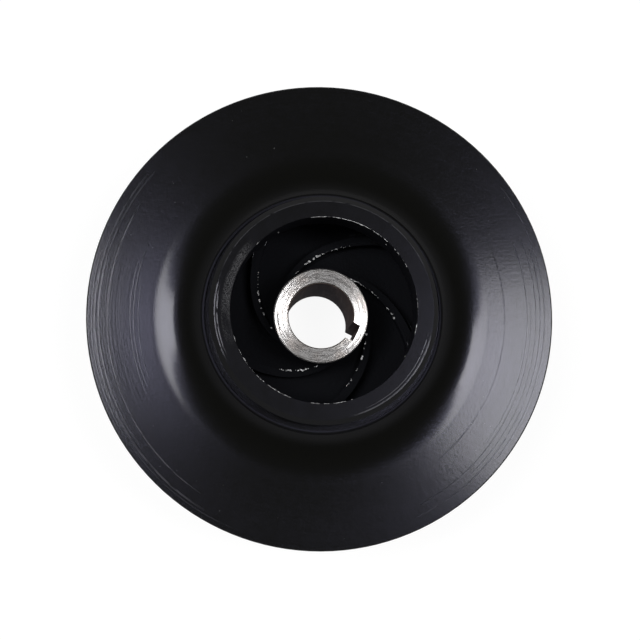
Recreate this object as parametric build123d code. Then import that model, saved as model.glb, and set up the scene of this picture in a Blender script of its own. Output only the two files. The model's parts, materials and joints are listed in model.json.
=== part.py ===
from build123d import *
import math
import os

# Closed pump impeller, cast in one piece, with a machined hub, bore, keyway and neck.
# Frame: origin at the centre of the rear hub face, +Z along the bore towards the suction eye,
# +X through the middle of the keyway. Lengths are in millimetres and angles in degrees.

# Hub and bore
HUB_LENGTH = 55.0            # rear hub face to front hub face
HUB_DIAMETER = 43.7          # front end of the hub, inside the eye
HUB_FLARE_RADIUS = 14.0      # hollow curve from the hub into the back shroud
HUB_EDGE_CHAMFER = 0.4
BORE_DIAMETER = 30.0
BORE_CHAMFER = 0.5
KEYWAY_WIDTH = 8.0           # width of a standard key on a 30 mm shaft
KEYWAY_DEPTH = 3.3           # from the bore wall to the keyway floor
REAR_BOSS_DIAMETER = 54.0
REAR_BOSS_HEIGHT = 29.0      # rear hub face to the back of the back shroud
REAR_BOSS_CHAMFER = 1.0
REAR_BOSS_FILLET = 6.0

# Shrouds
RIM_DIAMETER = 215.0
BACK_SHROUD_THICKNESS = 5.2
OUTLET_WIDTH = 16.0          # passage width between the shrouds at the rim
FRONT_SHROUD_THICKNESS = 4.5  # at the rim
FRONT_SHROUD_RISE = 1.0      # rise of its outer face from the rim to the trumpet's foot
RIM_CHAMFER = 0.6
TRUMPET_FOOT_DIAMETER = 154.0  # where the flat shroud turns into the trumpet's hollow curve
TRUMPET_HEIGHT = 9.4         # foot to the top of the hollow curve, under the lip

# Suction eye and neck
EYE_DIAMETER = 83.4
EYE_TURN_RADIUS = 13.0       # rounded corner where the flow turns from the eye into the passage
NECK_DIAMETER = 102.0        # running surface of the wear ring
NECK_LENGTH = 16.5           # neck's front face to the shoulder
NECK_CHAMFER = 2.1
SHOULDER_STEP = 2.35         # turned face behind the neck, from the running surface outwards
LIP_WIDTH = 1.6              # unturned edge of the trumpet around that face
LIP_HEIGHT = 1.0             # lip above the shoulder
LIP_WALL = 0.7               # straight wall between the trumpet's curve and the lip's round
LIP_ROUND = 1.2

# Blades
BLADE_COUNT = 5
BLADE_START_ANGLE = 17.3     # first blade's root at the hub, counted from the keyway
BLADE_INLET_ANGLE = 22.2     # blade to tangent, at the hub
BLADE_OUTLET_ANGLE = 31.0    # blade to tangent, from the eye to the rim
BLADE_INLET_WRAP = 73.0      # sweep over which the inlet angle opens to the outlet angle
BLADE_THICKNESS = 4.0
LEADING_EDGE_THICKNESS = 2.4
LEADING_EDGE_DROP = 3.5      # front hub face to the leading edge's root on the hub
LEADING_EDGE_SAG = 11.0       # hollow of the leading edge below its chord
LEADING_EDGE_TURN = 60.0     # how far round the eye's corner the leading edge meets the shroud

# Overshoot of cutting bodies past the surfaces that they open
CUT_MARGIN = 3.0
POINTS_PER_BLADE_SIDE = 16

# Radii and heights that follow from the sizes above
bore_r = BORE_DIAMETER / 2
hub_r = HUB_DIAMETER / 2
boss_r = REAR_BOSS_DIAMETER / 2
rim_r = RIM_DIAMETER / 2
eye_r = EYE_DIAMETER / 2
neck_r = NECK_DIAMETER / 2
shoulder_r = neck_r + SHOULDER_STEP
lip_r = shoulder_r + LIP_WIDTH
floor_z = REAR_BOSS_HEIGHT + BACK_SHROUD_THICKNESS
roof_z = floor_z + OUTLET_WIDTH
rim_front_z = roof_z + FRONT_SHROUD_THICKNESS
trumpet_foot_r = TRUMPET_FOOT_DIAMETER / 2
trumpet_width = trumpet_foot_r - lip_r
trumpet_radius = (trumpet_width ** 2 + TRUMPET_HEIGHT ** 2) / (2 * TRUMPET_HEIGHT)
trumpet_turn = math.degrees(math.asin(trumpet_width / trumpet_radius))
trumpet_foot_z = rim_front_z + FRONT_SHROUD_RISE
trumpet_top_z = trumpet_foot_z + TRUMPET_HEIGHT
lip_z = trumpet_top_z + LIP_WALL + LIP_ROUND
shoulder_z = lip_z - LIP_HEIGHT
neck_front_z = shoulder_z + NECK_LENGTH
eye_turn_z = roof_z + EYE_TURN_RADIUS
leading_edge_root_z = HUB_LENGTH - LEADING_EDGE_DROP


def on_circle(centre, radius, angle):
    """Point at `angle` degrees from the +r direction on a circle in the (r, z) plane."""
    turn = math.radians(angle)
    return (centre[0] + radius * math.cos(turn), centre[1] + radius * math.sin(turn))


def revolved(section_edges):
    """Solid of revolution about Z of a closed section drawn as (r, z)."""
    with BuildPart() as part:
        with BuildSketch(Plane.XZ):
            with BuildLine():
                for edge in section_edges:
                    add(edge)
            make_face()
        revolve(axis=Axis.Z)
    return part.part


def chain(*points):
    """Straight edges through the given (r, z) points."""
    return [Line(start, end) for start, end in zip(points, points[1:])]


def outer_body():
    """The casting's outside: rear boss, shrouds, trumpet, lip and neck, still without hollows."""
    boss_fillet_centre = (boss_r + REAR_BOSS_FILLET, REAR_BOSS_HEIGHT - REAR_BOSS_FILLET)
    boss_top = (boss_r, boss_fillet_centre[1])
    shroud_start = (boss_fillet_centre[0], REAR_BOSS_HEIGHT)
    trumpet_centre = (trumpet_foot_r, trumpet_foot_z + trumpet_radius)
    trumpet_foot = (trumpet_foot_r, trumpet_foot_z)
    trumpet_top = (lip_r, trumpet_top_z)
    lip_round_start = (lip_r, lip_z - LIP_ROUND)
    lip_round_end = (lip_r - LIP_ROUND, lip_z)
    lip_centre = (lip_r - LIP_ROUND, lip_z - LIP_ROUND)

    rear = chain(
        (0, 0),
        (boss_r - REAR_BOSS_CHAMFER, 0),
        (boss_r, REAR_BOSS_CHAMFER),
        boss_top,
    )
    boss_fillet = ThreePointArc(
        boss_top,
        on_circle(boss_fillet_centre, REAR_BOSS_FILLET, 135),
        shroud_start,
    )
    rim = chain(
        shroud_start,
        (rim_r - RIM_CHAMFER, REAR_BOSS_HEIGHT),
        (rim_r, REAR_BOSS_HEIGHT + RIM_CHAMFER),
        (rim_r, rim_front_z - RIM_CHAMFER),
        (rim_r - RIM_CHAMFER, rim_front_z),
        trumpet_foot,
    )
    trumpet = ThreePointArc(
        trumpet_foot,
        on_circle(trumpet_centre, trumpet_radius, 270 - trumpet_turn / 2),
        trumpet_top,
    )
    trumpet_wall = Line(trumpet_top, lip_round_start)
    lip_round = ThreePointArc(
        lip_round_start,
        on_circle(lip_centre, LIP_ROUND, 45),
        lip_round_end,
    )
    neck = chain(
        lip_round_end,
        (shoulder_r, lip_z),
        (shoulder_r, shoulder_z),
        (neck_r, shoulder_z),
        (neck_r, neck_front_z - NECK_CHAMFER),
        (neck_r - NECK_CHAMFER, neck_front_z),
        (0, neck_front_z),
        (0, 0),
    )
    return revolved(rear + [boss_fillet] + rim + [trumpet, trumpet_wall, lip_round] + neck)


def eye_turn_centre():
    """Centre of the eye's rounded corner in the (r, z) plane."""
    return (eye_r + EYE_TURN_RADIUS, eye_turn_z)


def eye_hollow():
    """The open eye ahead of the blades, with the hub standing in its middle."""
    root = (hub_r, leading_edge_root_z)
    tip = on_circle(eye_turn_centre(), EYE_TURN_RADIUS, 180 + LEADING_EDGE_TURN)
    middle = ((root[0] + tip[0]) / 2, (root[1] + tip[1]) / 2 - LEADING_EDGE_SAG)
    corner_middle = on_circle(eye_turn_centre(), EYE_TURN_RADIUS, 180 + LEADING_EDGE_TURN / 2)
    corner_start = (eye_r, eye_turn_z)
    leading_edge = ThreePointArc(root, middle, tip)
    corner = ThreePointArc(tip, corner_middle, corner_start)
    opening = chain(
        corner_start,
        (eye_r, neck_front_z + CUT_MARGIN),
        (0, neck_front_z + CUT_MARGIN),
        (0, HUB_LENGTH),
        (hub_r - HUB_EDGE_CHAMFER, HUB_LENGTH),
        (hub_r, HUB_LENGTH - HUB_EDGE_CHAMFER),
        root,
    )
    return revolved([leading_edge, corner] + opening)


def passage_space():
    """All of the flow passage from the eye to the rim, as if there were no blades."""
    flare_centre = (hub_r + HUB_FLARE_RADIUS, floor_z + HUB_FLARE_RADIUS)
    flare_top = (hub_r, flare_centre[1])
    flare_foot = (flare_centre[0], floor_z)
    turn_centre = eye_turn_centre()
    turn_foot = (turn_centre[0], roof_z)
    turn_top = (eye_r, eye_turn_z)
    passage_top_z = max(HUB_LENGTH, eye_turn_z) + CUT_MARGIN
    outside_r = rim_r + CUT_MARGIN

    flare = ThreePointArc(
        flare_top,
        on_circle(flare_centre, HUB_FLARE_RADIUS, 225),
        flare_foot,
    )
    outlet = chain(flare_foot, (outside_r, floor_z), (outside_r, roof_z), turn_foot)
    turn = ThreePointArc(
        turn_foot,
        on_circle(turn_centre, EYE_TURN_RADIUS, 225),
        turn_top,
    )
    inlet = chain(turn_top, (eye_r, passage_top_z), (hub_r, passage_top_z), flare_top)
    return revolved([flare] + outlet + [turn] + inlet)


def camber_log_radius(wrap):
    """ln(r / hub_r) after sweeping `wrap` radians: the integral of tan(blade angle)."""
    inlet = math.tan(math.radians(BLADE_INLET_ANGLE))
    outlet = math.tan(math.radians(BLADE_OUTLET_ANGLE))
    inlet_wrap = math.radians(BLADE_INLET_WRAP)
    opening = max(0.0, min(wrap, inlet_wrap))
    opened = inlet * opening + (outlet - inlet) * opening ** 2 / (2 * inlet_wrap)
    return opened + inlet * min(wrap, 0.0) + outlet * max(wrap - inlet_wrap, 0.0)


def blade_angle_tangent(wrap):
    """tan(blade angle) after sweeping `wrap` radians."""
    inlet = math.tan(math.radians(BLADE_INLET_ANGLE))
    outlet = math.tan(math.radians(BLADE_OUTLET_ANGLE))
    share = max(0.0, min(1.0, wrap / math.radians(BLADE_INLET_WRAP)))
    return inlet + (outlet - inlet) * share


def blade_side_point(wrap, side):
    """Point on one side of the first blade: +1 is its outer side, -1 its inner side."""
    radius = hub_r * math.exp(camber_log_radius(wrap))
    direction = math.radians(BLADE_START_ANGLE) - wrap
    slope = math.atan(blade_angle_tangent(wrap))
    share = max(0.0, min(1.0, wrap / math.radians(BLADE_INLET_WRAP)))
    thickness = LEADING_EDGE_THICKNESS + (BLADE_THICKNESS - LEADING_EDGE_THICKNESS) * share
    offset = side * thickness / 2
    radial = radius + offset * math.cos(slope)
    across = offset * math.sin(slope)
    return (
        radial * math.cos(direction) - across * math.sin(direction),
        radial * math.sin(direction) + across * math.cos(direction),
    )


def blade_side(side):
    """Points along one side of the first blade, from inside the hub to outside the rim."""
    inlet_slope = math.tan(math.radians(BLADE_INLET_ANGLE))
    outlet_slope = math.tan(math.radians(BLADE_OUTLET_ANGLE))
    inner_r = (bore_r + hub_r) / 2
    outer_r = rim_r + 2 * CUT_MARGIN + BLADE_THICKNESS
    inlet_wrap = math.radians(BLADE_INLET_WRAP)
    first_wrap = math.log(inner_r / hub_r) / inlet_slope
    past_inlet = math.log(outer_r / hub_r) - camber_log_radius(inlet_wrap)
    last_wrap = inlet_wrap + past_inlet / outlet_slope
    steps = POINTS_PER_BLADE_SIDE - 1
    wraps = [first_wrap + (last_wrap - first_wrap) * i / steps for i in range(steps + 1)]
    return [blade_side_point(wrap, side) for wrap in wraps]


def turned(point, angle):
    """A plan point turned about Z by `angle` degrees."""
    c = math.cos(math.radians(angle))
    s = math.sin(math.radians(angle))
    return (point[0] * c - point[1] * s, point[0] * s + point[1] * c)


def channel():
    """The first channel: the passage between one blade's outer side and the next one's inner."""
    pitch = 360 / BLADE_COUNT
    near_side = blade_side(+1)
    far_side = [turned(point, pitch) for point in blade_side(-1)]
    outer_middle = turned(near_side[-1], pitch / 2)
    with BuildPart() as part:
        with BuildSketch():
            with BuildLine():
                Spline(*near_side)
                ThreePointArc(near_side[-1], outer_middle, far_side[-1])
                Spline(*far_side)
                Line(far_side[0], near_side[0])
            make_face()
        extrude(amount=neck_front_z)
    # Turned half round, the passage has the seam of its revolved faces away from the first blade
    return Rot(0, 0, 180) * passage_space() & part.part


def keyed_bore():
    """The bore with a chamfer at each end, and the keyway along its whole length."""
    wide_r = bore_r + BORE_CHAMFER
    section = chain(
        (0, -CUT_MARGIN),
        (wide_r, -CUT_MARGIN),
        (wide_r, 0),
        (bore_r, BORE_CHAMFER),
        (bore_r, HUB_LENGTH - BORE_CHAMFER),
        (wide_r, HUB_LENGTH),
        (wide_r, HUB_LENGTH + CUT_MARGIN),
        (0, HUB_LENGTH + CUT_MARGIN),
        (0, -CUT_MARGIN),
    )
    keyway = Pos(0, 0, HUB_LENGTH / 2) * Box(
        bore_r + KEYWAY_DEPTH,
        KEYWAY_WIDTH,
        HUB_LENGTH + 2 * CUT_MARGIN,
        align=(Align.MIN, Align.CENTER, Align.CENTER),
    )
    return revolved(section) + keyway


def impeller():
    """The finished casting: what the channels leave between them are the blades."""
    first = channel()
    channels = [Rot(0, 0, index * 360 / BLADE_COUNT) * first for index in range(BLADE_COUNT)]
    return outer_body() - eye_hollow() - channels - keyed_bore()


os.makedirs("parts", exist_ok=True)
casting = impeller()
export_step(casting, "parts/impeller.step")
print("solids", len(casting.solids()), "volume", round(casting.volume), "mm3", "valid", casting.is_valid)
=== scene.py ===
# %% [markdown]
# A closed pump impeller: one iron casting, painted black, with a bare machined hub.
# The imported model gives the casting at its real size. This script adds what a maker sees on it:
# the paint, the turning marks under it, the bare iron of the hub, the rounded casting corners
# in the outlets, and the chipped edges, with highlights painted into the grey of the turning marks,
# the neck's edge and the chips. Lengths are in metres unless a name says mm.

# %% Load the imported part
import json
import math
import bmesh
import bpy
import numpy as np
from mathutils import Matrix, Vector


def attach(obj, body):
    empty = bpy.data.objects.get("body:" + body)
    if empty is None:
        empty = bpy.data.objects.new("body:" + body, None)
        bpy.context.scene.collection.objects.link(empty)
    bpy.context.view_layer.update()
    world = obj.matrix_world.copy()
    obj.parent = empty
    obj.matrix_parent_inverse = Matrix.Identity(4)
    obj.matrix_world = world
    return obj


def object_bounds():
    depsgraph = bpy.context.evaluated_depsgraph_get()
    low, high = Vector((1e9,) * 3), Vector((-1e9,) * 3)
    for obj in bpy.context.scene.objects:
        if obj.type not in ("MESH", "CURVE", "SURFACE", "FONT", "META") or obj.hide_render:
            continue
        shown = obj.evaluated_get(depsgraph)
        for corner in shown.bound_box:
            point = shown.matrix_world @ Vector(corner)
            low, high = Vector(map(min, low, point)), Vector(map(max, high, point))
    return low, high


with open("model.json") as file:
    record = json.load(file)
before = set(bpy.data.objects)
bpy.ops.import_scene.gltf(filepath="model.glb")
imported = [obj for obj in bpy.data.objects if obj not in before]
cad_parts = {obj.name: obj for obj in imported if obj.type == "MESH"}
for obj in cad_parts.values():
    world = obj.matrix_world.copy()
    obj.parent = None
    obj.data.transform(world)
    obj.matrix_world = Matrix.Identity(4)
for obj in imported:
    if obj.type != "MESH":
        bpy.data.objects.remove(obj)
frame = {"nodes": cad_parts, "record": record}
cad_box = [list(corner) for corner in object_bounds()]
MM = 0.001

casting = frame["nodes"]["impeller"]
mounts = {mount["name"]: mount for mount in frame["record"]["mounts"]}
bore_r = mounts["bore"]["dims"]["r_mm"] * MM
neck_r = mounts["neck"]["dims"]["r_mm"] * MM
hub_z = mounts["front_hub_face"]["pos_m"][2]
rim_r = cad_box[1][0]
neck_z = cad_box[1][2]
print("casting reaches", [round(size, 4) for size in cad_box[1]], "bore", bore_r, "neck", neck_r)

# %% [markdown]
# The other sizes that the finish follows: where the hub, the eye and the shrouds end, and the
# curve of the blades, which is the same as in the casting itself. Directions in the camera's view
# are given in degrees, 0 to the right and 90 up, because marks are easiest to place there.

# %% Sizes that the finish follows
HUB_R = 21.85 * MM
EYE_R = 41.7 * MM
PASSAGE_FLOOR_Z = 34.2 * MM
PASSAGE_ROOF_Z = 50.2 * MM
LIP_R = 54.3 * MM            # the thin lip round the foot of the neck
LIP_Z = 66.5 * MM
KEYWAY_HALF_WIDTH = 4.0 * MM
KEYWAY_FLOOR_R = 18.3 * MM
VIEW_TURN = math.radians(26.3)        # the view's right, counted from the keyway

BLADE_COUNT = 5
BLADE_START = math.radians(17.3)      # first blade's root at the hub, counted from the keyway
BLADE_WRAP = math.radians(73.0)       # sweep over which the blade angle opens
INLET_TANGENT = math.tan(math.radians(22.2))
OUTLET_TANGENT = math.tan(math.radians(31.0))
INLET_THICKNESS = 2.4 * MM
BLADE_THICKNESS = 4.0 * MM
LEADING_EDGE_ROOT = (21.85 * MM, 51.5 * MM)   # radius and height of three points along it
LEADING_EDGE_LOW = (35.02 * MM, 40.72 * MM)
LEADING_EDGE_TIP = (48.2 * MM, 51.94 * MM)
print("passage height at the rim", round(PASSAGE_ROOF_Z - PASSAGE_FLOOR_Z, 4))

# %% [markdown]
# Node helpers. A material can tell one part of the surface from another by sums done on the
# position of each point. The class below keeps such sums short: each of its methods adds a node
# or a few, takes sockets and plain numbers alike, and gives back the socket with the result.

# %% Node helpers
def new_material(name):
    """An empty node material with its Principled shader and output joined."""
    material = bpy.data.materials.new(name)
    material.use_nodes = True
    nodes = material.node_tree.nodes
    nodes.clear()
    shader = nodes.new("ShaderNodeBsdfPrincipled")
    output = nodes.new("ShaderNodeOutputMaterial")
    material.node_tree.links.new(shader.outputs["BSDF"], output.inputs["Surface"])
    return material, shader


class Sums:
    """Writes sums of sockets and numbers into one material's node tree."""

    def __init__(self, material):
        self.tree = material.node_tree

    def node(self, kind, **settings):
        made = self.tree.nodes.new(kind)
        for key, value in settings.items():
            setattr(made, key, value)
        return made

    def feed(self, socket, value):
        if isinstance(value, bpy.types.NodeSocket):
            self.tree.links.new(value, socket)
        else:
            socket.default_value = value

    def math(self, operation, *values):
        made = self.node("ShaderNodeMath", operation=operation)
        for socket, value in zip(made.inputs, values):
            self.feed(socket, value)
        return made.outputs[0]

    def ramp(self, value, low, high):
        """0 below low, 1 above high, smooth between."""
        made = self.node("ShaderNodeMapRange", interpolation_type="SMOOTHSTEP")
        self.feed(made.inputs["Value"], value)
        made.inputs["From Min"].default_value = low
        made.inputs["From Max"].default_value = high
        return made.outputs["Result"]

    def band(self, value, middle, half_width, edge):
        """1 within half_width of middle, falling to 0 over the edge."""
        away = self.math("ABSOLUTE", self.math("SUBTRACT", value, middle))
        return self.math("SUBTRACT", 1.0, self.ramp(away, half_width, half_width + edge))

    def noise(self, vector, scale, detail=2.0, roughness=0.5):
        made = self.node("ShaderNodeTexNoise", noise_dimensions="3D")
        self.feed(made.inputs["Vector"], vector)
        made.inputs["Scale"].default_value = scale
        made.inputs["Detail"].default_value = detail
        made.inputs["Roughness"].default_value = roughness
        return made.outputs["Fac"]

    def line_noise(self, value, scale, detail=2.0):
        """Noise along one number, such as the radius, which gives rings."""
        made = self.node("ShaderNodeTexNoise", noise_dimensions="1D")
        self.feed(made.inputs["W"], value)
        made.inputs["Scale"].default_value = scale
        made.inputs["Detail"].default_value = detail
        return made.outputs["Fac"]

    def dots(self, vector, scale):
        """Distance to the nearest of many scattered points, as a share of their spacing."""
        made = self.node("ShaderNodeTexVoronoi", feature="F1")
        self.feed(made.inputs["Vector"], vector)
        made.inputs["Scale"].default_value = scale
        return made.outputs["Distance"]

    def mix_number(self, share, first, second):
        made = self.node("ShaderNodeMix", data_type="FLOAT")
        self.feed(made.inputs[0], share)
        self.feed(made.inputs[2], first)
        self.feed(made.inputs[3], second)
        return made.outputs[0]

    def mix_colour(self, share, first, second):
        made = self.node("ShaderNodeMix", data_type="RGBA")
        self.feed(made.inputs[0], share)
        self.feed(made.inputs[6], first)
        self.feed(made.inputs[7], second)
        return made.outputs[2]

    def bump(self, height, distance, normal=None):
        made = self.node("ShaderNodeBump")
        self.feed(made.inputs["Distance"], distance)
        self.feed(made.inputs["Height"], height)
        if normal is not None:
            self.feed(made.inputs["Normal"], normal)
        return made.outputs["Normal"]

    def vector(self, x, y, z):
        made = self.node("ShaderNodeCombineXYZ")
        for socket, value in zip(made.inputs, (x, y, z)):
            self.feed(socket, value)
        return made.outputs[0]

    def stretched(self, vector, x, y, z):
        """The vector with each part multiplied, so that a texture on it stretches."""
        made = self.node("ShaderNodeVectorMath", operation="MULTIPLY")
        self.feed(made.inputs[0], vector)
        made.inputs[1].default_value = (x, y, z)
        return made.outputs[0]

    def tipped_normal(self, toward, amount):
        """The surface normal plus `amount` of an object-space direction, at unit length."""
        turned = self.node("ShaderNodeVectorTransform", vector_type="VECTOR",
                           convert_from="OBJECT", convert_to="WORLD")
        self.feed(turned.inputs[0], toward)
        scaled = self.node("ShaderNodeVectorMath", operation="SCALE")
        self.feed(scaled.inputs[0], turned.outputs[0])
        self.feed(scaled.inputs["Scale"], amount)
        total = self.node("ShaderNodeVectorMath", operation="ADD")
        self.feed(total.inputs[0], self.node("ShaderNodeNewGeometry").outputs["Normal"])
        self.feed(total.inputs[1], scaled.outputs[0])
        unit = self.node("ShaderNodeVectorMath", operation="NORMALIZE")
        self.feed(unit.inputs[0], total.outputs[0])
        return unit.outputs[0]

    def mix_vector(self, share, first, second):
        made = self.node("ShaderNodeMix", data_type="VECTOR")
        self.feed(made.inputs[0], share)
        self.feed(made.inputs[4], first)
        self.feed(made.inputs[5], second)
        return made.outputs[1]

    def position(self):
        """Sockets of the object position: the vector, x, y, z, the radius and the angle about Z."""
        vector = self.node("ShaderNodeTexCoord").outputs["Object"]
        split = self.node("ShaderNodeSeparateXYZ")
        self.feed(split.inputs[0], vector)
        x, y, z = split.outputs
        squares = self.math("ADD", self.math("MULTIPLY", x, x), self.math("MULTIPLY", y, y))
        radius = self.math("SQRT", squares)
        angle = self.math("ARCTAN2", y, x)
        return vector, x, y, z, radius, angle


print("node helpers ready")

# %% [markdown]
# The finish. One material covers the casting, because it is one piece. A second material per
# patch would need the mesh cut along its edges; masks on position give soft edges without a cut.
# They say which part of the surface is which: satin black paint nearly everywhere, bare turned
# iron on the hub's end faces, and a dark brown film in the bore and the keyway.

# %% Mask helpers
finish, shader = new_material("painted_casting")
sums = Sums(finish)
place, x, y, z, radius, angle = sums.position()
out_x, out_y = sums.math("DIVIDE", x, radius), sums.math("DIVIDE", y, radius)


def both(first, *others):
    """The product of masks: 1 only where all of them are."""
    for other in others:
        first = sums.math("MULTIPLY", first, other)
    return first


def without(mask):
    return sums.math("SUBTRACT", 1.0, mask)


def past(value, limit, edge):
    """0 below the limit, rising to 1 over the edge above it."""
    return sums.ramp(value, limit, limit + edge)


def short_of(value, limit, edge):
    """1 below the limit, falling to 0 over the edge above it."""
    return without(past(value, limit, edge))


def centred(noise):
    """A noise about 0 in place of about a half."""
    return sums.math("SUBTRACT", noise, 0.5)


def scaled(value, amount):
    return sums.math("MULTIPLY", value, amount)


def from_view(degrees):
    """Angle about Z, in radians between -pi and pi, of a direction in the camera's view."""
    return (math.radians(degrees) + VIEW_TURN + math.pi) % (2 * math.pi) - math.pi


def sector(middle, half_width, edge):
    """1 within half_width degrees of a direction in the view, falling to 0 over edge degrees."""
    turned = sums.math("SUBTRACT", angle, from_view(middle))
    wrapped = sums.math("WRAP", turned, math.pi, -math.pi)
    return sums.band(wrapped, 0.0, math.radians(half_width), math.radians(edge))


def turned_place(length):
    """Coordinates in which a noise makes marks along the turning: the radius, and the direction
    about the axis times a length. The shorter that length, the longer the marks."""
    return sums.vector(radius, scaled(out_x, length), scaled(out_y, length))


print("mask helpers ready on", finish.name)

# %% Where the casting is bare
patchy = sums.noise(place, 260.0, 4.0, 0.6)
fine = sums.noise(place, 1400.0, 3.0, 0.6)
ragged_r = sums.math("ADD", radius, scaled(centred(fine), 0.5 * MM))
inside_hub = short_of(ragged_r, HUB_R - 0.2 * MM, 0.3 * MM)
front_face = both(past(z, hub_z - 0.5 * MM, 0.2 * MM), short_of(z, hub_z + 1 * MM, 1 * MM))
rear_face = short_of(z, 0.1 * MM, 0.2 * MM)
bare_front = both(inside_hub, front_face)
bare = sums.math("MAXIMUM", bare_front, rear_face)
print("bare iron inside radius", HUB_R)

# %% Where the bore and the passages are
in_bore = short_of(radius, bore_r + 0.1 * MM, 0.2 * MM)
in_keyway = both(
    past(x, 0.0, 1 * MM),
    sums.band(y, 0.0, KEYWAY_HALF_WIDTH + 0.02 * MM, 0.02 * MM),
    short_of(x, KEYWAY_FLOOR_R + 0.02 * MM, 0.03 * MM),
)
under_face = short_of(z, hub_z - 0.12 * MM, 0.1 * MM)
in_bore = both(sums.math("MAXIMUM", in_bore, in_keyway), under_face)

in_eye = both(short_of(radius, EYE_R + 0.02 * MM, 0.04 * MM), short_of(z, neck_z - 0.1 * MM, 0.05 * MM))
passage_middle = (PASSAGE_FLOOR_Z + PASSAGE_ROOF_Z) / 2
passage_half = (PASSAGE_ROOF_Z - PASSAGE_FLOOR_Z) / 2
between_shrouds = sums.band(z, passage_middle, passage_half + 0.01 * MM, 0.05 * MM)
inside_rim = short_of(radius, rim_r - 0.1 * MM, 0.05 * MM)
in_passage = sums.math("MAXIMUM", in_eye, both(between_shrouds, inside_rim))
print("bore mask to radius", bore_r, "and passage mask about height", round(passage_middle, 4))

# %% [markdown]
# Wear. Black residue clings to one edge of the hub's face, and the neck's face is rubbed grey
# beside the eye, in a soft band of very fine specks. Dots this fine can't be taken for signs.

# %% Residue and rubbed paint
hub_marks = sums.noise(turned_place(3 * MM), 1500.0, 3.0, 0.65)
smear = sums.noise(turned_place(9 * MM), 900.0, 3.0, 0.7)
wavy_r = sums.math("ADD", radius, scaled(centred(fine), 1.2 * MM))
smear_line = sums.band(wavy_r, HUB_R - 2.0 * MM, 0.10 * MM, 0.25 * MM)
long_smear = both(sector(187, 9, 4), smear_line, sums.ramp(smear, 0.40, 0.50))
edge_smears = both(
    sector(176, 24, 14),
    past(radius, HUB_R - 1.5 * MM, 1.2 * MM),
    sums.ramp(smear, 0.50, 0.60),
)
residue = both(sums.math("MAXIMUM", long_smear, edge_smears), bare_front)

on_neck_face = past(z, neck_z - 0.3 * MM, 0.2 * MM)
specks_apart = without(sums.ramp(sums.dots(turned_place(60 * MM), 3400.0), 0.15, 0.50))
speck_patches = sums.ramp(sums.noise(turned_place(9 * MM), 260.0, 2.0, 0.5), 0.28, 0.60)
rubbed = both(
    sector(169, 24, 10),
    sums.band(radius, EYE_R + 2.0 * MM, 1.3 * MM, 1.1 * MM),
    specks_apart, speck_patches, on_neck_face,
)
print("residue and rubbed band masked")

# %% [markdown]
# Turned rings. The shrouds and the neck were faced on a lathe before painting, and a few deeper
# passes of the tool show as grooves. Each ring is a thin band of radius over a part of the turn,
# broken up by a noise that runs along it. The grooves are real bump, but their lighter grey is a
# painted highlight, laid only over the parts of the turn where the lamps at the left and the right
# catch them; the neck's rings are painted highlights of its edge. A table of rings is easier to
# adjust than one noise.

# %% Turned rings
# Radius in mm, half width in mm, middle and half length in degrees of the view, and strength
# Rings on the neck: painted highlights of the neck's edge, on the sides where the lamps catch it
NECK_RINGS = (
    (47.4, 0.13, 186, 9, 0.7),
    (48.5, 0.13, 184, 13, 0.8),
    (48.5, 0.18, -44, 22, 0.5),
    (47.2, 0.10, -40, 18, 0.5),
    (48.6, 0.12, 90, 60, 0.25),
)
# Rings on the shroud: grooves in the bump, and a painted highlight in their grey over the lit parts of
# the turn
TURNED_RINGS = (
    (97.9, 0.15, 192, 34, 1.3),
    (101.6, 0.22, 178, 30, 0.6),
    (103.3, 0.26, 190, 40, 0.7),
    (104.8, 0.16, 205, 34, 0.3),
    (85.0, 0.14, -12, 34, -0.6),
    (87.2, 0.14, 184, 14, 0.22),
    (85.7, 0.14, 180, 16, 0.24),
    (83.6, 0.10, 186, 10, 0.14),
    (103.9, 0.16, -2, 30, 0.5),
    (101.9, 0.16, -22, 34, 0.45),
    (99.8, 0.12, -12, 26, 0.4),
    (97.4, 0.12, -30, 26, 0.35),
    (95.7, 0.10, -8, 22, 0.3),
)
RING_END = 12                # degrees over which a ring fades at each end
line_breaks = sums.ramp(sums.noise(turned_place(12 * MM), 1200.0, 2.0, 0.6), 0.30, 0.52)
on_front = both(past(z, PASSAGE_ROOF_Z + 2 * MM, 1 * MM), past(radius, neck_r - 4 * MM, 4 * MM))


def rings(table):
    """The sum of the table's rings: each a thin line at its radius over its part of the turn."""
    total = 0.0
    for ring_r, half_width, middle, half_length, strength in table:
        thin = sums.band(radius, ring_r * MM, half_width * MM, half_width * MM)
        line = both(thin, sector(middle, half_length, RING_END), line_breaks)
        total = sums.math("ADD", total, scaled(line, strength))
    return total


# The neck's rings: a painted highlight of its edge
neck_light = both(rings(NECK_RINGS), on_neck_face)
# ring_light and bright_rings carry both tables' rings; their grey in the colour is a painted highlight
ring_light = sums.math("ADD", both(rings(TURNED_RINGS), on_front), neck_light)
bright_rings = sums.math("MAXIMUM", ring_light, 0.0)
on_lip = both(
    sums.band(radius, LIP_R, 0.9 * MM, 0.3 * MM),
    sums.band(z, LIP_Z, 1.3 * MM, 0.3 * MM),
)
print(len(TURNED_RINGS), "turned rings on the shroud,", len(NECK_RINGS), "on the neck")

# %% [markdown]
# Colour and gloss. The paint is nearly black, so what the eye sees of it is its gloss: a soft
# base lobe for the satin, and a thin coat over it for the sharper shine. The passages are dull
# cast iron under the same paint, and the bare iron is a metal with warm and dull patches.

# %% Colours
PAINT = (0.0052, 0.0052, 0.0042, 1)
PASSAGE_PAINT = (0.0046, 0.0050, 0.0046, 1)
# Grey of the rubbed paint beside the eye, used at half strength as a painted highlight on the neck's edge
GREY_WEAR_AND_HIGHLIGHT = (0.20, 0.20, 0.205, 1)
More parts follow.
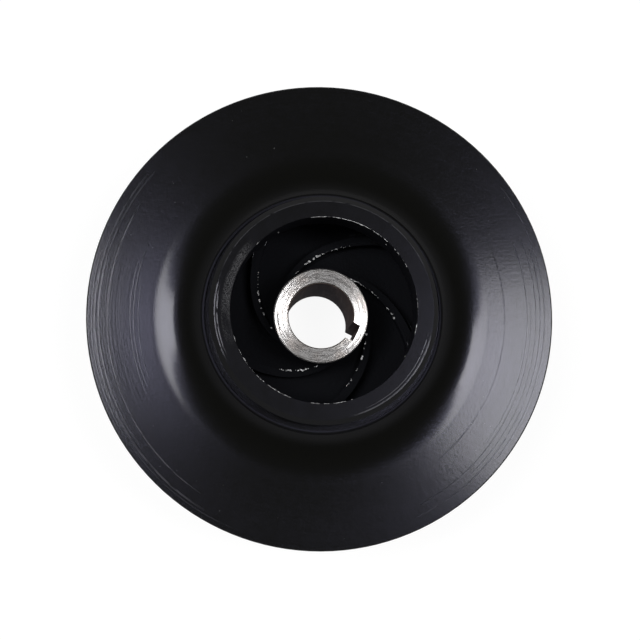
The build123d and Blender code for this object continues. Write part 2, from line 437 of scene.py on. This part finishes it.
# Lighter grey of the turned rings and the neck's edge: a painted highlight
RING_HIGHLIGHT = (0.06, 0.06, 0.066, 1)
BARE_IRON = (0.70, 0.685, 0.68, 1)
WARM_IRON = (0.58, 0.535, 0.51, 1)
DULL_IRON = (0.34, 0.325, 0.32, 1)
RESIDUE = (0.03, 0.027, 0.026, 1)
BORE_FILM = (0.085, 0.055, 0.040, 1)
BORE_LIGHT = (0.17, 0.125, 0.10, 1)

warm_patches = sums.ramp(sums.noise(place, 110.0, 1.0, 0.5), 0.45, 0.70)
hub_colour = sums.mix_colour(warm_patches, BARE_IRON, WARM_IRON)
hub_colour = sums.mix_colour(sums.ramp(hub_marks, 0.46, 0.66), hub_colour, DULL_IRON)
hub_colour = sums.mix_colour(residue, hub_colour, RESIDUE)
bore_streaks = sums.noise(sums.stretched(place, 1.0, 1.0, 0.12), 420.0, 3.0, 0.6)
bore_colour = sums.mix_colour(sums.ramp(bore_streaks, 0.45, 0.75), BORE_FILM, BORE_LIGHT)
paint_colour = sums.mix_colour(in_passage, PAINT, PASSAGE_PAINT)
paint_colour = sums.mix_colour(rubbed, paint_colour, GREY_WEAR_AND_HIGHLIGHT)
# Painted highlight: the lit rings lighten the paint
paint_colour = sums.mix_colour(bright_rings, paint_colour, RING_HIGHLIGHT)
# Painted highlight: the neck's lit edge, at half strength
paint_colour = sums.mix_colour(scaled(neck_light, 0.5), paint_colour, GREY_WEAR_AND_HIGHLIGHT)
colour = sums.mix_colour(bare, paint_colour, hub_colour)
colour = sums.mix_colour(in_bore, colour, bore_colour)
sums.feed(shader.inputs["Base Color"], colour)
print("paint", PAINT[:3], "bare iron", BARE_IRON[:3])

# %% Gloss
PAINT_ROUGHNESS = 0.22
PAINT_UNEVENNESS = 0.08
PASSAGE_ROUGHNESS = 0.85
BARE_ROUGHNESS = 0.22
BORE_ROUGHNESS = 0.55
LIP_ROUGHNESS = 0.45
BORE_METAL = 0.2             # how much of the iron shows through the film
COAT_WEIGHT = 0.44

metal = sums.mix_number(in_bore, both(bare, without(residue)), BORE_METAL)
sums.feed(shader.inputs["Metallic"], metal)
paint_rough = sums.math("ADD", PAINT_ROUGHNESS - PAINT_UNEVENNESS / 2, scaled(patchy, PAINT_UNEVENNESS))
rough = sums.mix_number(in_passage, paint_rough, PASSAGE_ROUGHNESS)
rough = sums.mix_number(bare, rough, BARE_ROUGHNESS)
rough = sums.mix_number(in_bore, rough, BORE_ROUGHNESS)
rough = sums.mix_number(on_lip, rough, LIP_ROUGHNESS)
sums.feed(shader.inputs["Roughness"], rough)
shader.inputs["Specular IOR Level"].default_value = 0.21
shader.inputs["Specular Tint"].default_value = (0.68, 0.68, 1.0, 1)
shader.inputs["Coat Roughness"].default_value = 0.12
shader.inputs["Coat IOR"].default_value = 1.5
painted = both(*(without(mask) for mask in (bare, in_bore, rubbed, in_passage, on_lip)))
sums.feed(shader.inputs["Coat Weight"], scaled(painted, COAT_WEIGHT))
print("paint roughness", PAINT_ROUGHNESS, "coat", COAT_WEIGHT)

# %% [markdown]
# Relief. The paint has a fine orange peel over the turned shroud, with grooves near the rim. All
# of it is shallower than the paint is thick, so bump is enough and no mesh is needed. The base
# lobe gets more of it than the coat, as paint fills the grooves it covers. The hub's bare face is
# turned too: its grooves tip the surface in and out along the radius, so lamps at the left and
# the right light two bright sectors, as on every faced ring.

# %% Relief
CROWN_TILT = 0.045           # how far the shroud's face tips outwards just past the trumpet
RING_DEPTH = 0.03 * MM
GROOVE_DEPTH = 0.011 * MM
CAST_GRAIN_DEPTH = 0.35 * MM
BASE_TURNING_DEPTH = 0.05 * MM
COAT_TURNING_DEPTH = 0.009 * MM
BASE_PEEL_DEPTH = (0.02 * MM, 0.06 * MM)      # off the front shroud, and on it
COAT_PEEL_DEPTH = (0.004 * MM, 0.012 * MM)

near_rim = past(radius, 93 * MM, 4 * MM)
groove_fade = sums.ramp(sums.noise(place, 22.0, 2.0), 0.35, 0.65)
rim_grooves = both(sums.line_noise(radius, 620.0, 2.0), near_rim, groove_fade)
turning_marks = sums.noise(turned_place(3 * MM), 1150.0, 2.0, 0.7)
turning = both(turning_marks, past(radius, 80 * MM, 12 * MM), on_front)
orange_peel = sums.noise(place, 950.0, 2.0, 0.75)
cast_grain = sums.noise(place, 520.0, 4.0, 0.6)
outward = sums.vector(out_x, out_y, 0.0)
crown = both(past(radius, 72 * MM, 8 * MM), short_of(radius, 80 * MM, 22 * MM), on_front)

relief = sums.tipped_normal(outward, scaled(crown, CROWN_TILT))
relief = sums.bump(ring_light, RING_DEPTH, relief)
relief = sums.bump(rim_grooves, GROOVE_DEPTH, relief)
relief = sums.bump(orange_peel, sums.mix_number(on_front, *BASE_PEEL_DEPTH), relief)
relief = sums.bump(turning, BASE_TURNING_DEPTH, relief)
relief = sums.mix_vector(in_passage, relief, sums.bump(cast_grain, CAST_GRAIN_DEPTH))
groove_tilt = centred(sums.line_noise(radius, 7000.0, 2.0))
relief = sums.mix_vector(bare, relief, sums.tipped_normal(outward, groove_tilt))
sums.feed(shader.inputs["Normal"], relief)

coat_relief = sums.bump(ring_light, RING_DEPTH)
coat_relief = sums.bump(rim_grooves, GROOVE_DEPTH, coat_relief)
coat_relief = sums.bump(turning, COAT_TURNING_DEPTH, coat_relief)
coat_relief = sums.bump(orange_peel, sums.mix_number(on_front, *COAT_PEEL_DEPTH), coat_relief)
sums.feed(shader.inputs["Coat Normal"], coat_relief)

casting.data.materials.clear()
casting.data.materials.append(finish)
print("finish on", casting.name)

# %% [markdown]
# Two small finishes. Where the paint has chipped off sharp edges, metal shows, and its
# near-white grey is partly a painted glint. Its tone changes from facet to facet as painted light:
# a noise mixes a dark and a bright grey. Nibs are specks of dust that the paint has caught, grey
# and dull.

# %% Chip and nib finishes
CHIP_DARK = (0.40, 0.40, 0.41, 1)
CHIP_GLINT = (0.97, 0.97, 0.98, 1)
NIB_DARK = (0.05, 0.05, 0.05, 1)
NIB_LIGHT = (0.24, 0.24, 0.24, 1)

chip_and_glint_finish, chip_shader = new_material("bare_chip")
chip_sums = Sums(chip_and_glint_finish)
# Painted glint: a noise turns some facets near white and leaves others dark grey
chip_glint_share = chip_sums.ramp(chip_sums.noise(chip_sums.position()[0], 900.0, 2.0), 0.35, 0.65)
chip_and_glint_colour = chip_sums.mix_colour(chip_glint_share, CHIP_DARK, CHIP_GLINT)
chip_sums.feed(chip_shader.inputs["Base Color"], chip_and_glint_colour)
chip_shader.inputs["Metallic"].default_value = 0.3
chip_sums.feed(chip_shader.inputs["Roughness"], chip_sums.mix_number(chip_glint_share, 0.55, 0.4))
chip_sums.feed(chip_shader.inputs["Normal"], chip_sums.bump(chip_glint_share, 0.05 * MM))

nib_finish, nib_shader = new_material("paint_nib")
nib_sums = Sums(nib_finish)
nib_tone = nib_sums.noise(nib_sums.position()[0], 900.0, 2.0)
nib_sums.feed(nib_shader.inputs["Base Color"], nib_sums.mix_colour(nib_tone, NIB_DARK, NIB_LIGHT))
nib_shader.inputs["Roughness"].default_value = 0.8
print("small finishes:", chip_and_glint_finish.name, "and", nib_finish.name)

# %% [markdown]
# Blade geometry, the same curve as in the casting: the radius grows with the sweep as
# exp(the integral of tan(blade angle)), and the angle opens over the first 73 degrees.

# %% Blade curve
def log_radius(wrap):
    """ln(r / hub radius) after sweeping `wrap` radians from the hub."""
    opening = np.clip(wrap, 0, BLADE_WRAP)
    opened = INLET_TANGENT * opening + (OUTLET_TANGENT - INLET_TANGENT) * opening**2 / (2 * BLADE_WRAP)
    before, after = np.minimum(wrap, 0), np.maximum(wrap - BLADE_WRAP, 0)
    return opened + INLET_TANGENT * before + OUTLET_TANGENT * after


def blade_side(wrap, side, index):
    """Plan points on one side of a blade, +1 outer and -1 inner, and the unit vectors off that
    side: the camber's point at hub radius times exp(log_radius), moved out by half the thickness."""
    share = np.clip(wrap / BLADE_WRAP, 0, 1)
    slope = np.arctan(INLET_TANGENT + (OUTLET_TANGENT - INLET_TANGENT) * share)
    half = side * (INLET_THICKNESS + (BLADE_THICKNESS - INLET_THICKNESS) * share) / 2
    direction = BLADE_START - wrap + index * 2 * math.pi / BLADE_COUNT
    radial = np.stack([np.cos(direction), np.sin(direction)], axis=-1)
    around = np.stack([-np.sin(direction), np.cos(direction)], axis=-1)
    off = radial * np.cos(slope)[:, None] + around * np.sin(slope)[:, None]
    points = radial * (HUB_R * np.exp(log_radius(wrap)))[:, None] + off * half[:, None]
    return points, off * side


def leading_edge_height(radii):
    """Height of the leading edges at some radii: the circle through its three points."""
    (r1, z1), (r2, z2), (r3, z3) = LEADING_EDGE_ROOT, LEADING_EDGE_LOW, LEADING_EDGE_TIP
    rows = np.array([[r2 - r1, z2 - z1], [r3 - r1, z3 - z1]])
    sides = np.array([r2**2 - r1**2 + z2**2 - z1**2, r3**2 - r1**2 + z3**2 - z1**2]) / 2
    centre_r, centre_z = np.linalg.solve(rows, sides)
    circle = math.hypot(r1 - centre_r, z1 - centre_z)
    return centre_z - np.sqrt(circle**2 - (radii - centre_r) ** 2)


lowest = leading_edge_height(np.array([LEADING_EDGE_LOW[0]]))[0]
print("blade curve ready, leading edge lowest at", round(float(lowest), 4))

# %% [markdown]
# Two helpers make every new piece: one closes a stack of rings into a tube, the other puts points
# and faces into a mesh that rides on the casting's body.

# %% Mesh helpers
def finished_piece(name, points, faces, material, smooth):
    """A closed mesh of the part, riding on its body, with its material and shading."""
    mesh = bpy.data.meshes.new(name)
    mesh.from_pydata(points.tolist(), [], faces)
    mesh.polygons.foreach_set("use_smooth", np.full(len(mesh.polygons), smooth))
    mesh.materials.append(material)
    mesh.update()
    piece = bpy.data.objects.new(name, mesh)
    bpy.context.scene.collection.objects.link(piece)
    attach(piece, "root")
    return piece


def swept(rings):
    """Vertices and faces of a closed tube through rings of section points: neighbours on a ring
    and on the next ring make a square face, and a fan of triangles caps each end."""
    stations, around = rings.shape[:2]
    points = rings.reshape(-1, 3)
    index = np.arange(stations * around).reshape(stations, around)
    nxt = np.roll(index, -1, axis=1)
    quads = np.stack([index[:-1], nxt[:-1], nxt[1:], index[1:]], axis=-1).reshape(-1, 4)
    first, last = index[0], index[-1]
    fan = np.arange(1, around - 1)
    start_cap = np.stack([np.full_like(fan, first[0]), first[fan + 1], first[fan]], axis=-1)
    end_cap = np.stack([np.full_like(fan, last[0]), last[fan], last[fan + 1]], axis=-1)
    return points, quads, np.concatenate([start_cap, end_cap])


print("mesh helpers ready")

# %% [markdown]
# Casting fillets. In the real casting the blades melt into both shrouds with a small hollow
# corner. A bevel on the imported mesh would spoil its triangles, so each corner gets a strip of its
# own, from deep in the channel to the rim. Its section is a quarter circle, hollow side out, with
# its back edge sunk a little into the walls.

# %% Casting fillets in the channels
FILLET_R = 1.8 * MM
FILLET_SUNK = 0.15 * MM
FILLET_STATIONS = 60
FILLET_ARC_POINTS = 8
FILLET_START_WRAP = 0.9 * BLADE_WRAP
FILLET_START_R = 50.0 * MM   # from here the fillet grows to its full radius
FILLET_GROWTH = 8 * MM
RIM_INSET = 0.02 * MM


def fillet_strip(index, side, shroud_z, upward):
    """One strip: u points off the blade, v points off the shroud, and the hollow is the arc
    u = R(1 - sin t), v = R(1 - cos t) for t from 0 to 90 degrees."""
    past_opening = math.log(rim_r / HUB_R) - log_radius(np.array([BLADE_WRAP]))[0]
    end_wrap = BLADE_WRAP + past_opening / OUTLET_TANGENT
    path, off = blade_side(np.linspace(FILLET_START_WRAP, end_wrap, FILLET_STATIONS), side, index)
    grown_share = (np.hypot(path[:, 0], path[:, 1]) - FILLET_START_R) / FILLET_GROWTH
    leg = FILLET_R * np.clip(grown_share, 0.1, 1)[:, None]
    turn = np.radians(np.linspace(0, 90, FILLET_ARC_POINTS))
    back = np.full_like(leg, -FILLET_SUNK)
    section_u = np.concatenate([back, leg, leg * (1 - np.sin(turn)), back], axis=1)
    section_v = np.concatenate([back, back, leg * (1 - np.cos(turn)), leg], axis=1)
    plan = path[:, None, :] + off[:, None, :] * section_u[:, :, None]
    reach = np.hypot(plan[..., 0], plan[..., 1])
    plan *= np.minimum(1, (rim_r - RIM_INSET) / reach)[..., None]
    height = shroud_z + upward * section_v
    strip = np.concatenate([plan, height[..., None]], axis=-1)
    return strip if side * upward > 0 else strip[:, ::-1]


def fillets():
    """All the strips joined in one mesh: every blade, both sides, both shrouds."""
    points, faces, count = [], [], 0
    for index in range(BLADE_COUNT):
        for side in (+1, -1):
            for shroud_z, upward in ((PASSAGE_FLOOR_Z, +1), (PASSAGE_ROOF_Z, -1)):
                some, quads, caps = swept(fillet_strip(index, side, shroud_z, upward))
                points.append(some)
                faces += (quads + count).tolist() + (caps + count).tolist()
                count += len(some)
    return np.concatenate(points), faces


fillet_points, fillet_faces = fillets()
finished_piece("casting_fillets", fillet_points, fillet_faces, finish, True)
print("fillets:", len(fillet_points), "points")

# %% [markdown]
# Nicks. Where the paint has come off the sharp edges, metal shows as small slivers, their near-white
# partly a painted glint. Each is a dented bead, longer along its edge, set half into the casting.
# Hundreds of them share one mesh, and each has only a few dozen faces.

# %% Slivers of bright metal and dust
rng = np.random.default_rng(7)


def bead():
    """Points and triangles of a round bead of unit radius, to be dented and stretched."""
    ball = bmesh.new()
    bmesh.ops.create_icosphere(ball, subdivisions=2, radius=1.0)
    points = np.array([vertex.co[:] for vertex in ball.verts])
    faces = np.array([[vertex.index for vertex in face.verts] for face in ball.faces])
    ball.free()
    return points, faces


def slivers(places, along, sizes, shape, dent):
    """Points and faces of many beads: each is dented, stretched to its size times the shape's
    length, width and height, turned about Z to lie `along` a direction, and moved to its place."""
    unit, triangles = bead()
    count = len(places)
    dents = 1 + dent * rng.uniform(-1, 1, (count, len(unit), 1))
    half = sizes[:, None, None] * np.array(shape) / 2
    long, wide, high = np.moveaxis(unit[None] * dents * half, -1, 0)
    c, s = np.cos(along)[:, None], np.sin(along)[:, None]
    turned = np.stack([long * c - wide * s, long * s + wide * c, high], axis=-1)
    points = (turned + places[:, None, :]).reshape(-1, 3)
    faces = (triangles[None] + (np.arange(count) * len(unit))[:, None, None]).reshape(-1, 3)
    return points, faces.tolist()


print("a sliver has", len(bead()[1]), "faces")

# %% [markdown]
# The blades' leading edges are chipped in runs and not evenly. Each run is given by the radii
# where it starts and ends, and the blade curve puts its slivers on the edge, so the runs stay on
# the blade if its curve is changed.

# %% Nicks along the blades
# For each blade, its chipped runs: radius from and to and typical size in mm, and how many
BLADE_RUNS = (
    ((22.8, 23.8, 0.42, 3), (25.0, 26.5, 0.34, 4), (27.6, 28.6, 0.42, 4),
     (30.5, 32.0, 0.22, 5), (33.5, 35.5, 0.18, 8)),
    ((23.4, 26.2, 0.38, 9), (26.5, 31.0, 0.18, 10), (33.6, 34.4, 0.28, 3), (35.5, 37.0, 0.42, 4)),
    ((24.4, 25.2, 0.24, 4), (27.0, 31.4, 0.36, 16), (31.5, 36.0, 0.18, 14), (36.0, 39.0, 0.14, 5)),
    ((23.6, 24.6, 0.34, 4), (26.8, 31.0, 0.26, 11), (32.0, 33.0, 0.36, 4), (33.5, 38.0, 0.20, 8)),
    ((22.9, 24.5, 0.32, 4), (24.6, 29.8, 0.38, 18), (29.8, 32.0, 0.22, 6)),
)
BLADE_NICK_GROWTH = 1.35     # over the typical sizes in the table
BLADE_NICK_SHAPE = (1.4, 0.9, 0.6)
BLADE_NICK_SPREAD = 0.22 * MM
BLADE_NICK_LIFT = 0.03 * MM


def leading_edge_nicks():
    """Places, directions and sizes of slivers along the inner edge of each leading edge."""
    places, along, sizes = [], [], []
    table = np.linspace(0, BLADE_WRAP, 200)
    for index, runs in enumerate(BLADE_RUNS):
        radii = np.concatenate([rng.uniform(low, high, count) for low, high, _, count in runs]) * MM
        typical = np.concatenate([np.full(count, size) for _, _, size, count in runs]) * MM
        wrap = np.interp(radii, HUB_R * np.exp(log_radius(table)), table)
        plan, off = blade_side(wrap, -1, index)
        plan -= off * np.abs(rng.normal(0, BLADE_NICK_SPREAD, len(plan)))[:, None]
        height = leading_edge_height(np.hypot(plan[:, 0], plan[:, 1])) + BLADE_NICK_LIFT
        places.append(np.column_stack([plan, height]))
        along.append(np.arctan2(off[:, 1], off[:, 0]) + math.pi / 2 + rng.normal(0, 0.5, len(plan)))
        sizes.append(BLADE_NICK_GROWTH * typical * rng.lognormal(0, 0.35, len(plan)))
    return np.concatenate(places), np.concatenate(along), np.concatenate(sizes)


nicks = leading_edge_nicks()
# The slivers carry the chip material, whose near-white is partly a painted glint
finished_piece("leading_edge_nicks", *slivers(*nicks, BLADE_NICK_SHAPE, 0.35), chip_and_glint_finish, False)
print("nicks on the blades:", len(nicks[0]))

# %% [markdown]
# The eye's front edge carries longer, thinner slivers on the runs where the edge shows bright:
# partly lost paint and partly a painted highlight of the edge. A few larger specks sit on the eye's
# wall. Both are placed by their direction in the view.

# %% Nicks and specks in the eye
# Directions in degrees between which the edge has slivers of chip and painted highlight, and the slivers
# on each run
EYE_EDGE_RUNS = (
    (48, 98, 70), (22, 46, 5), (-16, 12, 14), (134, 136, 3),
    (196, 222, 12), (222, 252, 36), (262, 268, 7), (270, 284, 16),
)
# Direction in degrees and depth under the front face in mm
EYE_SPECKS = (
    (118.7, 14.0), (47.0, 8.0), (28.0, 0.3), (-13.7, 0.3), (-29.0, 6.0), (230.0, 0.3), (287.0, 0.3),
)
EYE_NICK_SIZE = 0.30         # typical, least and greatest, in mm
EYE_NICK_LIMITS = (0.12, 0.5)
EYE_NICK_SHAPE = (4.5, 1.0, 0.9)
EYE_NICK_DEPTH = 0.28 * MM
SPECK_SIZE = 0.62 * MM
SPECK_SHAPE = (1.0, 0.8, 0.8)


def on_circle(turn, reach, height):
    """Points at angles about Z, at a radius and a height each."""
    return np.column_stack([reach * np.cos(turn), reach * np.sin(turn), height])


def eye_edge_nicks():
    """Places, directions and sizes of slivers along the eye's edge, on its runs of chips and painted
    highlight.
    """
    runs = [rng.uniform(start, end, count) for start, end, count in EYE_EDGE_RUNS]
    turn = np.radians(np.concatenate(runs)) + VIEW_TURN
    reach = EYE_R + rng.normal(0.02, 0.05, len(turn)) * MM
    height = np.full(len(turn), neck_z - EYE_NICK_DEPTH)
    sizes = np.clip(rng.lognormal(math.log(EYE_NICK_SIZE), 0.35, len(turn)), *EYE_NICK_LIMITS) * MM
    return on_circle(turn, reach, height), turn + math.pi / 2, sizes


def eye_specks():
    """Places, directions and sizes of the single specks on the eye's wall and its edge."""
    view, depth = np.array(EYE_SPECKS).T
    turn = np.radians(view) + VIEW_TURN
    return on_circle(turn, EYE_R, neck_z - depth * MM), turn + math.pi / 2, np.full(len(turn), SPECK_SIZE)


nicks = eye_edge_nicks()
finished_piece("eye_edge_nicks", *slivers(*nicks, EYE_NICK_SHAPE, 0.2), chip_and_glint_finish, False)
specks = eye_specks()
finished_piece("eye_specks", *slivers(*specks, SPECK_SHAPE, 0.3), chip_and_glint_finish, False)
print("nicks on the eye's edge:", len(nicks[0]), "and specks:", len(specks[0]))

# %% [markdown]
# Nibs. A few specks of dust dried into the paint of the front shroud. They are scattered evenly
# by radius and angle, and set on the shroud's face, which falls slightly towards the rim.

# %% Nibs in the paint
NIB_COUNT = 34
NIB_FROM_R, NIB_TO_R = 80, 104        # in mm
NIB_SIZES = (0.18, 0.42)              # in mm
NIB_SHAPE = (1.0, 0.7, 0.5)
SHROUD_Z = 54.85 * MM                 # height of the shroud's face at the last nib's radius
SHROUD_FALL = 0.033

nib_turn = rng.uniform(0, 2 * math.pi, NIB_COUNT)
nib_r = rng.uniform(NIB_FROM_R, NIB_TO_R, NIB_COUNT) * MM
nib_places = on_circle(nib_turn, nib_r, SHROUD_Z + (NIB_TO_R * MM - nib_r) * SHROUD_FALL)
nib_sizes = rng.uniform(*NIB_SIZES, NIB_COUNT) * MM
nibs = slivers(nib_places, nib_turn, nib_sizes, NIB_SHAPE, 0.3)
finished_piece("paint_nibs", *nibs, nib_finish, False)
print("nibs in the paint:", NIB_COUNT)

# %% [markdown]
# The floor. The part stands on its rear hub face. The floor glows for the camera, so it looks
# white without throwing light on the object, and its own dark grey still takes the shadow.

# %% Floor
FLOOR_HALF = 6.0
FLOOR_GLOW = 0.92
FLOOR_GREY = 0.12
FLOOR_IN_GLOSS = 0.17        # how bright the pale surroundings are in the paint's gloss


def ray_shares(sums):
    """1 where the camera looks straight or through glass, and 1 where a gloss mirrors something."""
    path = sums.node("ShaderNodeLightPath")
    straight = sums.math("MAXIMUM", path.outputs["Is Camera Ray"], path.outputs["Is Transmission Ray"])
    return straight, path.outputs["Is Glossy Ray"]


corners = FLOOR_HALF * np.array([(-1, -1, 0), (1, -1, 0), (1, 1, 0), (-1, 1, 0)])
floor_mesh = bpy.data.meshes.new("floor")
floor_mesh.from_pydata(corners.tolist(), [], [(0, 1, 2, 3)])
floor = bpy.data.objects.new("floor", floor_mesh)
bpy.context.scene.collection.objects.link(floor)

floor_paint, floor_shader = new_material("pale_floor")
floor_sums = Sums(floor_paint)
floor_shader.inputs["Base Color"].default_value = (FLOOR_GREY, FLOOR_GREY, FLOOR_GREY, 1)
floor_shader.inputs["Roughness"].default_value = 0.9
floor_shader.inputs["Specular IOR Level"].default_value = 0.0
floor_shader.inputs["Emission Color"].default_value = (1, 1, 1, 1)
straight, mirrored = ray_shares(floor_sums)
seen = floor_sums.math("MAXIMUM", straight, floor_sums.math("MULTIPLY", mirrored, FLOOR_IN_GLOSS))
floor_sums.feed(floor_shader.inputs["Emission Strength"], floor_sums.math("MULTIPLY", seen, FLOOR_GLOW))
floor_mesh.materials.append(floor_paint)
print("floor", 2 * FLOOR_HALF, "m wide")

# %% [markdown]
# The camera looks down on the part almost along its axis. Its distance sets how much smaller the
# bore's far end looks than the near one. Its place is worked out from where the hub's face is in
# the view and how far the axis leans, so each of these can be changed on its own.

# %% Camera
CAMERA_DISTANCE = 0.7106     # to the plane of the front hub face
AXIS_RIGHT = 0.0517          # the bore axis leans right and up in the view
AXIS_UP = 0.0961
HUB_RIGHT = 0.46 * MM        # centre of the front hub face, from the middle of the view
HUB_UP = 1.96 * MM
FOCAL_LENGTH = 86.88
SENSOR = 36.0

axis = np.array([AXIS_RIGHT, AXIS_UP, math.sqrt(1 - AXIS_RIGHT**2 - AXIS_UP**2)])
right = np.array([1.0, 0, 0]) - axis * axis[0]
right /= np.linalg.norm(right)
up = np.cross(axis, right)
to_camera = np.column_stack([right, up, axis])
turn_cos, turn_sin = math.cos(VIEW_TURN), math.sin(VIEW_TURN)
about_z = np.array([[turn_cos, -turn_sin, 0], [turn_sin, turn_cos, 0], [0, 0, 1]])
camera_turn = about_z @ to_camera.T
hub_centre = np.array([0, 0, hub_z])
camera_place = hub_centre - camera_turn @ np.array([HUB_RIGHT, HUB_UP, -CAMERA_DISTANCE])


def placed(columns, place):
    """World matrix with the given axes as columns, at a place."""
    pose = np.eye(4)
    pose[:3, :3] = columns
    pose[:3, 3] = place
    return Matrix(pose.tolist())


camera_data = bpy.data.cameras.new("camera")
camera_data.lens = FOCAL_LENGTH
camera_data.sensor_width = SENSOR
camera_data.clip_start = 0.01
camera_data.clip_end = 50
camera = bpy.data.objects.new("camera", camera_data)
bpy.context.scene.collection.objects.link(camera)
camera.matrix_world = placed(camera_turn, camera_place)
bpy.context.scene.camera = camera
print("camera at", np.round(camera_place, 3))

# %% [markdown]
# Two softboxes light the part from the left and the right. In black paint a lamp is seen as its
# mirror image, so their directions, sizes and tilts decide where the bright crescents on the
# trumpet lie and how far they reach.

# %% Lamps
LAMP_DISTANCE = 5.0
RADIANCE = 10.0              # of both softboxes, where 1 is a white surface in plain light


def softbox(name, tilt_right, tilt_up, wide, high, roll, strength):
    """Area lamp facing the hub. Its centre is a direction given by its right and up parts in the
    view, its width and height are shares of its distance, and roll turns it by some degrees."""
    light = bpy.data.lights.new(name, "AREA")
    light.shape = "RECTANGLE"
    light.size = wide * LAMP_DISTANCE
    light.size_y = high * LAMP_DISTANCE
    light.energy = strength * RADIANCE * math.pi * light.size * light.size_y
    lamp = bpy.data.objects.new(name, light)
    bpy.context.scene.collection.objects.link(lamp)
    toward = np.array([tilt_right, tilt_up, math.sqrt(1 - tilt_right**2 - tilt_up**2)])
    side = np.array([1.0, 0, 0]) - toward * toward[0]
    side /= np.linalg.norm(side)
    over = np.cross(toward, side)
    c, s = math.cos(math.radians(roll)), math.sin(math.radians(roll))
    columns = camera_turn @ np.column_stack([side * c + over * s, over * c - side * s, toward])
    lamp.matrix_world = placed(columns, hub_centre + camera_turn @ toward * LAMP_DISTANCE)
    lamp.visible_camera = False
    return lamp


softbox("left_softbox", -0.37, 0.155, 0.49, 0.24, 0, 1.1)
softbox("right_softbox", 0.435, 0.085, 0.39, 0.215, -14, 1.25)
print("lamps", LAMP_DISTANCE, "m away")

# %% [markdown]
# The world is white for the camera and a plain grey for diffuse light. In gloss it is dark
# overhead and paler near the horizon, as a room with a pale table is, and a little darker on the
# side of the view's top.

# %% World
OVERHEAD = 0.02
AMBIENT = 0.25
TOP_DIMMING = 0.5
HORIZON_HEIGHTS = (0.45, 0.05)        # between these sines of elevation, overhead turns to horizon

world = bpy.data.worlds.new("studio")
bpy.context.scene.world = world
world.use_nodes = True
background = world.node_tree.nodes["Background"]
background.inputs["Color"].default_value = (1, 1, 1, 1)
world_sums = Sums(world)
direction = world_sums.node("ShaderNodeTexCoord").outputs["Generated"]
split = world_sums.node("ShaderNodeSeparateXYZ")
world_sums.feed(split.inputs[0], direction)
low_share = world_sums.ramp(split.outputs[2], *HORIZON_HEIGHTS)
toward_top = world_sums.node("ShaderNodeVectorMath", operation="DOT_PRODUCT")
world_sums.feed(toward_top.inputs[0], direction)
toward_top.inputs[1].default_value = (-math.sin(VIEW_TURN), math.cos(VIEW_TURN), 0)
dimming = world_sums.math("MULTIPLY", toward_top.outputs["Value"], TOP_DIMMING)
horizon = world_sums.math("MULTIPLY", world_sums.math("SUBTRACT", 1.0, dimming), FLOOR_IN_GLOSS)
in_gloss = world_sums.mix_number(low_share, OVERHEAD, horizon)
straight, mirrored = ray_shares(world_sums)
dim = world_sums.mix_number(mirrored, AMBIENT, in_gloss)
world_sums.feed(background.inputs["Strength"], world_sums.mix_number(straight, dim, 1.0))
bpy.context.scene.view_settings.view_transform = "Standard"
print("world", world.name, "ambient", AMBIENT)
